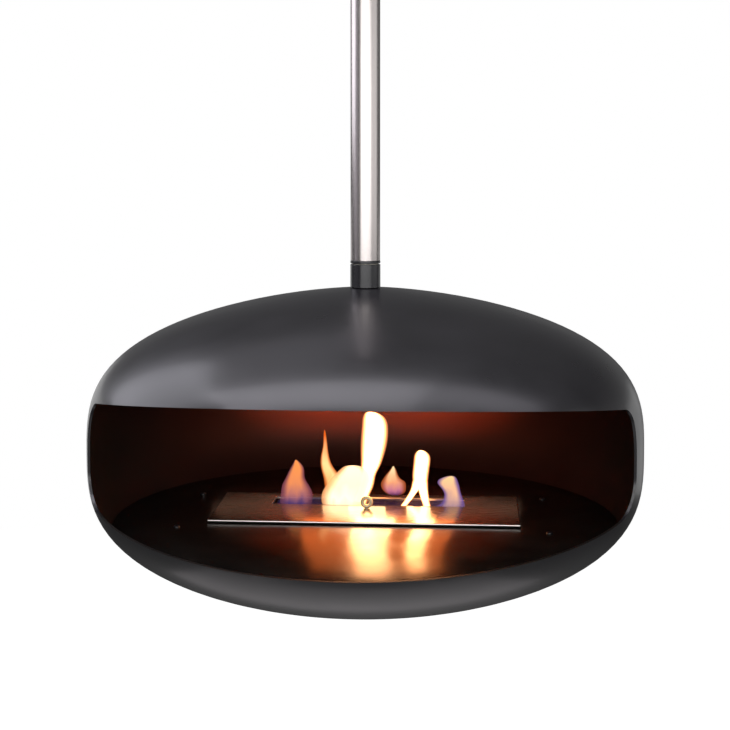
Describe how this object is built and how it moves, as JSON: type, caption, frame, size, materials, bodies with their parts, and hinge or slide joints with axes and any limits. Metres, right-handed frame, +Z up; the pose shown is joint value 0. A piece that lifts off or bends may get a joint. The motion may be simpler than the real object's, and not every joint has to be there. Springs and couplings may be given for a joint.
{
  "type": "hanging fireplace",
  "caption": "Flattened round steel pod with a wide mouth, hung on a ceiling pole by a swivel, with a flat hearth and a lift-out ethanol burner regulated by a sliding lid.",
  "frame": {"origin": "centre of the ceiling plate's top face, on the pole's axis, where the fireplace meets the ceiling", "axes": "+Z up along the pole; the mouth of the pod faces -Y at rest; +X to the right seen from the front"},
  "size_m": [0.95, 0.9265, 1.1498],
  "materials": {
    "satin_black_steel": "satin black heat-resistant powder coat",
    "hearth_black_steel": "semi-gloss black heat-resistant lacquer on flat steel sheet",
    "brushed_stainless": "long-grain brushed stainless steel",
    "zinc_plated_steel": "bright zinc-plated steel",
    "bearing_steel": "ground and polished bearing steel",
    "slip_plastic": "plain white low-friction plastic",
    "ceramic_fibre": "matt white ceramic fibre board",
    "fibre_pad": "matt black heat-resistant pad"
  },
  "bodies": {
    "ceiling": {"ceiling_plate": "zinc_plated_steel", "pole": "brushed_stainless", "pole_cross_bolt": "zinc_plated_steel", "pole_cross_nut": "zinc_plated_steel", "pole_plug_spindle": "satin_black_steel", "bearing_ball_cage": "bearing_steel", "bearing_lower_race": "bearing_steel", "spindle_washer": "zinc_plated_steel", "spindle_nut": "zinc_plated_steel", "spindle_locknut": "zinc_plated_steel"},
    "cover": {"ceiling_cover": "brushed_stainless", "cover_grub_screw": "zinc_plated_steel"},
    "pod": {"slip_washer": "slip_plastic", "swivel_collar": "satin_black_steel", "swivel_hub": "zinc_plated_steel", "bearing_upper_race": "bearing_steel", "upper_dome": "satin_black_steel", "lower_bowl": "satin_black_steel", "hearth_plate": "hearth_black_steel", "hearth_bracket_1": "zinc_plated_steel", "hearth_bracket_2": "zinc_plated_steel", "hearth_bracket_3": "zinc_plated_steel", "hearth_bracket_4": "zinc_plated_steel", "hearth_screw_1": "satin_black_steel", "hearth_screw_2": "satin_black_steel", "hearth_screw_3": "satin_black_steel", "hearth_screw_4": "satin_black_steel", "spill_tray": "zinc_plated_steel"},
    "burner": {"burner_plate": "brushed_stainless", "burner_pad_1": "fibre_pad", "burner_pad_2": "fibre_pad", "burner_pad_3": "fibre_pad", "burner_pad_4": "fibre_pad", "fuel_tank": "brushed_stainless", "ceramic_wick": "ceramic_fibre", "lid_rail_left": "brushed_stainless", "lid_rail_right": "brushed_stainless", "rail_screw_1": "zinc_plated_steel", "rail_screw_2": "zinc_plated_steel", "rail_screw_3": "zinc_plated_steel", "rail_screw_4": "zinc_plated_steel"},
    "regulator": {"regulator_lid": "brushed_stainless", "ring_pull": "brushed_stainless", "ring_pull_foot": "brushed_stainless", "ring_pull_nut": "zinc_plated_steel"}
  },
  "joints": [
    {"name": "pod_swivel", "type": "hinge", "parent": "ceiling", "child": "pod", "pos_m": [0, 0, -0.65], "axis": [0, 0, 1], "continuous": true},
    {"name": "cover_slide", "type": "slide", "parent": "ceiling", "child": "cover", "axis": [0, 0, -1], "range_m": [0, 0.25]},
    {"name": "burner_lift", "type": "slide", "parent": "pod", "child": "burner", "axis": [0, 0, 1], "range_m": [0, 0.09]},
    {"name": "regulator_slide", "type": "slide", "parent": "burner", "child": "regulator", "axis": [0, 1, 0], "range_m": [0, 0.062]}
  ]
}
